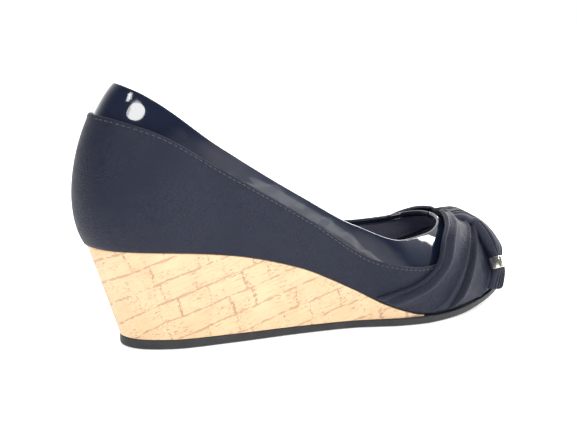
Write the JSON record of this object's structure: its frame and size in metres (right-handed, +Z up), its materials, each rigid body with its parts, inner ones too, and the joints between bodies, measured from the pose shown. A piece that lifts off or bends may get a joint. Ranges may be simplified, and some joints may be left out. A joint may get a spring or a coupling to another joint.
{
  "type": "wedge pump",
  "caption": "Right closed-toe wedge pump: hollow leather upper with glossy collar band, pleated toe drape held by a metal loop, cork-covered wedge and rubber sole.",
  "frame": {"origin": "on the ground under the middle of the bounding box", "axes": "+X to the toe, +Z up from the ground, -Y to the lateral (outer) side of a right foot"},
  "size_m": [0.2396, 0.0748, 0.1184],
  "materials": {
    "rubber_sole": "moulded, satin",
    "cork_wrap": "cork sheet, lightly sealed",
    "matte_leather": "fine grain, matte",
    "patent_leather": "patent, high gloss",
    "insole_lining": "smooth, matte",
    "keeper_metal": "pale gold, polished"
  },
  "bodies": {
    "root": {"outsole": "rubber_sole", "wedge": "cork_wrap", "upper": "matte_leather", "collar": "patent_leather", "insole": "insole_lining", "drape_lateral": "matte_leather", "drape_medial": "matte_leather", "knot_band": "matte_leather", "keeper": "keeper_metal"}
  },
  "joints": []
}
